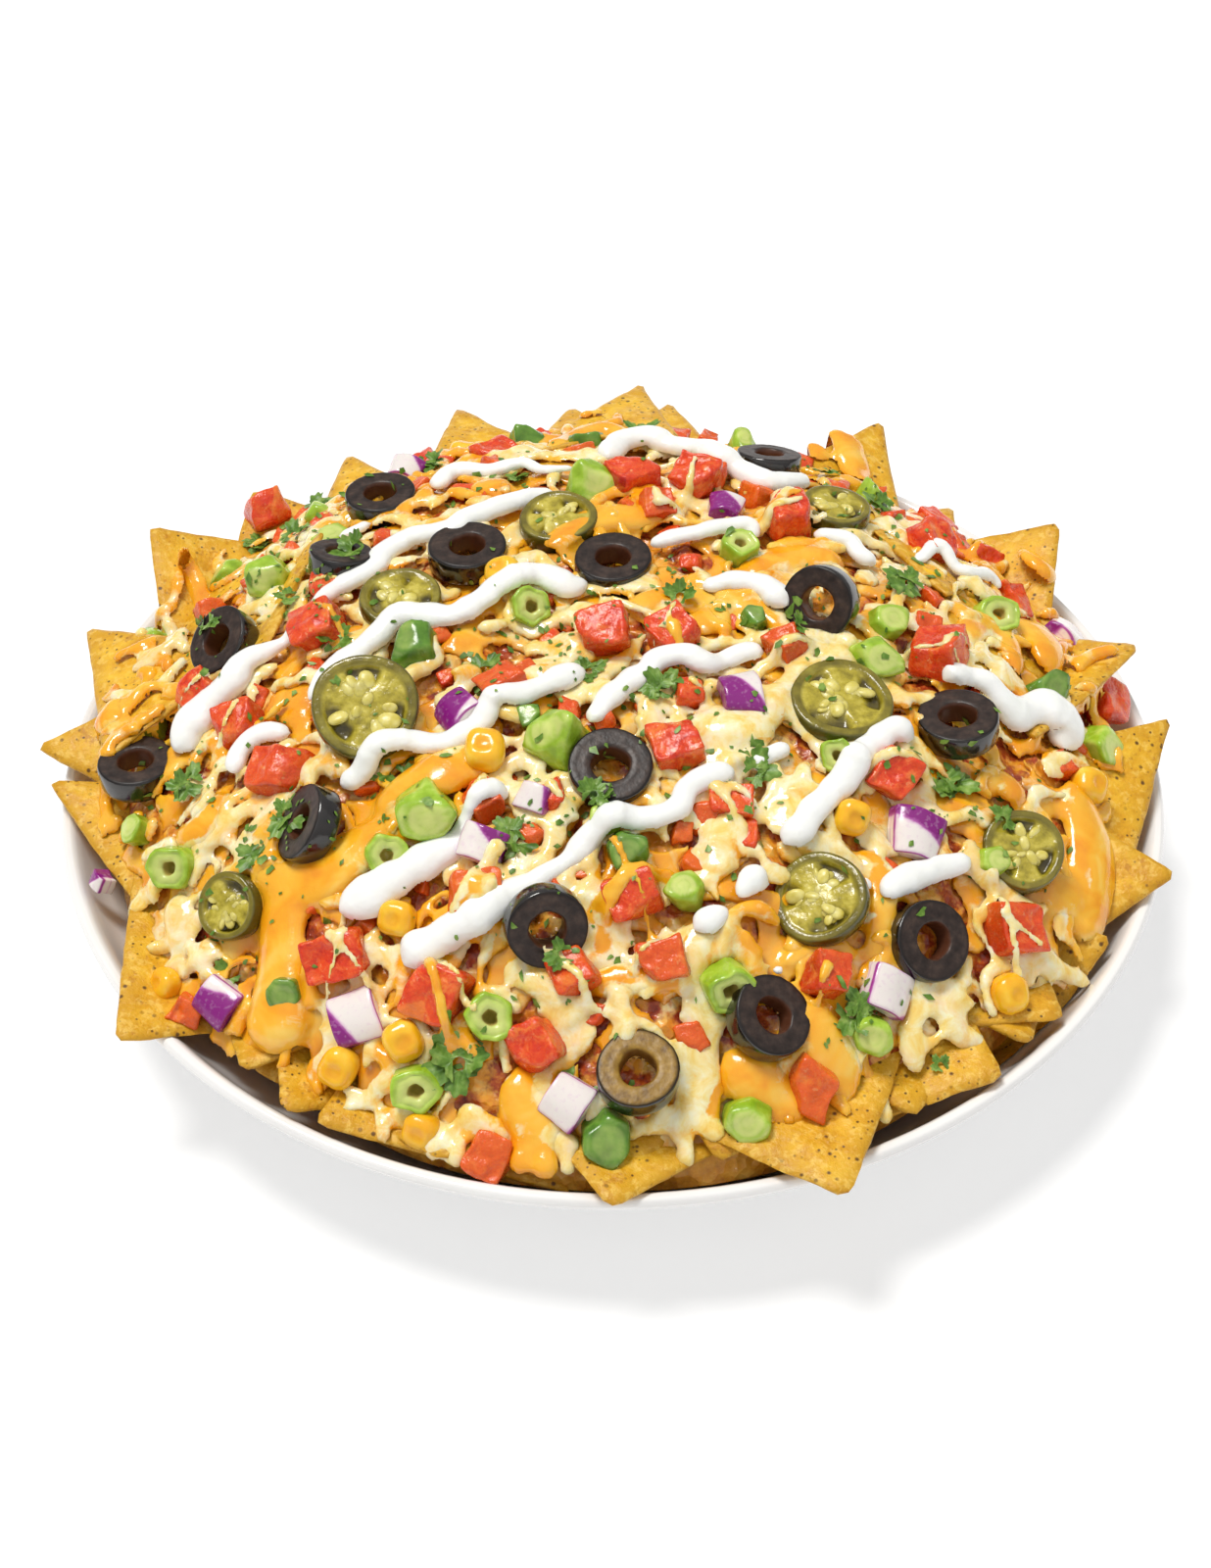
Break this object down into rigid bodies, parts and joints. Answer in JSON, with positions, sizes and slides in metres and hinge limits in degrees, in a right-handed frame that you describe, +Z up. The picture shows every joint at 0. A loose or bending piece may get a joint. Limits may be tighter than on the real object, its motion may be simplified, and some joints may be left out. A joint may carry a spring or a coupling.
{
  "type": "loaded nachos on a plate",
  "caption": "Corn chips heaped in a shallow round white plate under melted cheese, cream drizzle, olives, peppers, tomato, onion, scallion and corn.",
  "frame": {"origin": "middle of the plate's flat foot, on the table", "axes": "+Z up, -Y towards the side that the picture is taken from, +X to its right"},
  "size_m": [0.2711, 0.266, 0.0907],
  "materials": {
    "plate": "glossy white glaze",
    "heap": "melted cheese over corn chips, moist sheen",
    "olive": "moist black olive flesh",
    "pepper": "moist pickled green pepper",
    "tomato": "moist cut tomato",
    "onion": "moist cut red onion"
  },
  "bodies": {
    "root": {"heap": "heap", "olive_01": "olive", "olive_02": "olive", "olive_03": "olive", "olive_04": "olive", "olive_05": "olive", "olive_06": "olive", "olive_07": "olive", "olive_08": "olive", "olive_09": "olive", "olive_10": "olive", "olive_11": "olive", "olive_12": "olive", "olive_13": "olive", "olive_14": "olive", "olive_15": "olive", "onion_01": "onion", "onion_02": "onion", "onion_03": "onion", "onion_04": "onion", "onion_05": "onion", "onion_06": "onion", "onion_07": "onion", "onion_08": "onion", "onion_09": "onion", "pepper_01": "pepper", "pepper_02": "pepper", "pepper_03": "pepper", "pepper_04": "pepper", "pepper_05": "pepper", "pepper_06": "pepper", "pepper_07": "pepper", "pepper_08": "pepper", "plate": "plate", "tomato_01": "tomato", "tomato_02": "tomato", "tomato_03": "tomato", "tomato_04": "tomato", "tomato_05": "tomato", "tomato_06": "tomato", "tomato_07": "tomato", "tomato_08": "tomato", "tomato_09": "tomato", "tomato_10": "tomato", "tomato_11": "tomato", "tomato_12": "tomato", "tomato_13": "tomato", "tomato_14": "tomato", "tomato_15": "tomato", "tomato_16": "tomato", "tomato_17": "tomato", "tomato_18": "tomato", "tomato_19": "tomato", "tomato_20": "tomato", "tomato_21": "tomato", "tomato_22": "tomato", "tomato_23": "tomato", "tomato_24": "tomato"}
  },
  "joints": []
}
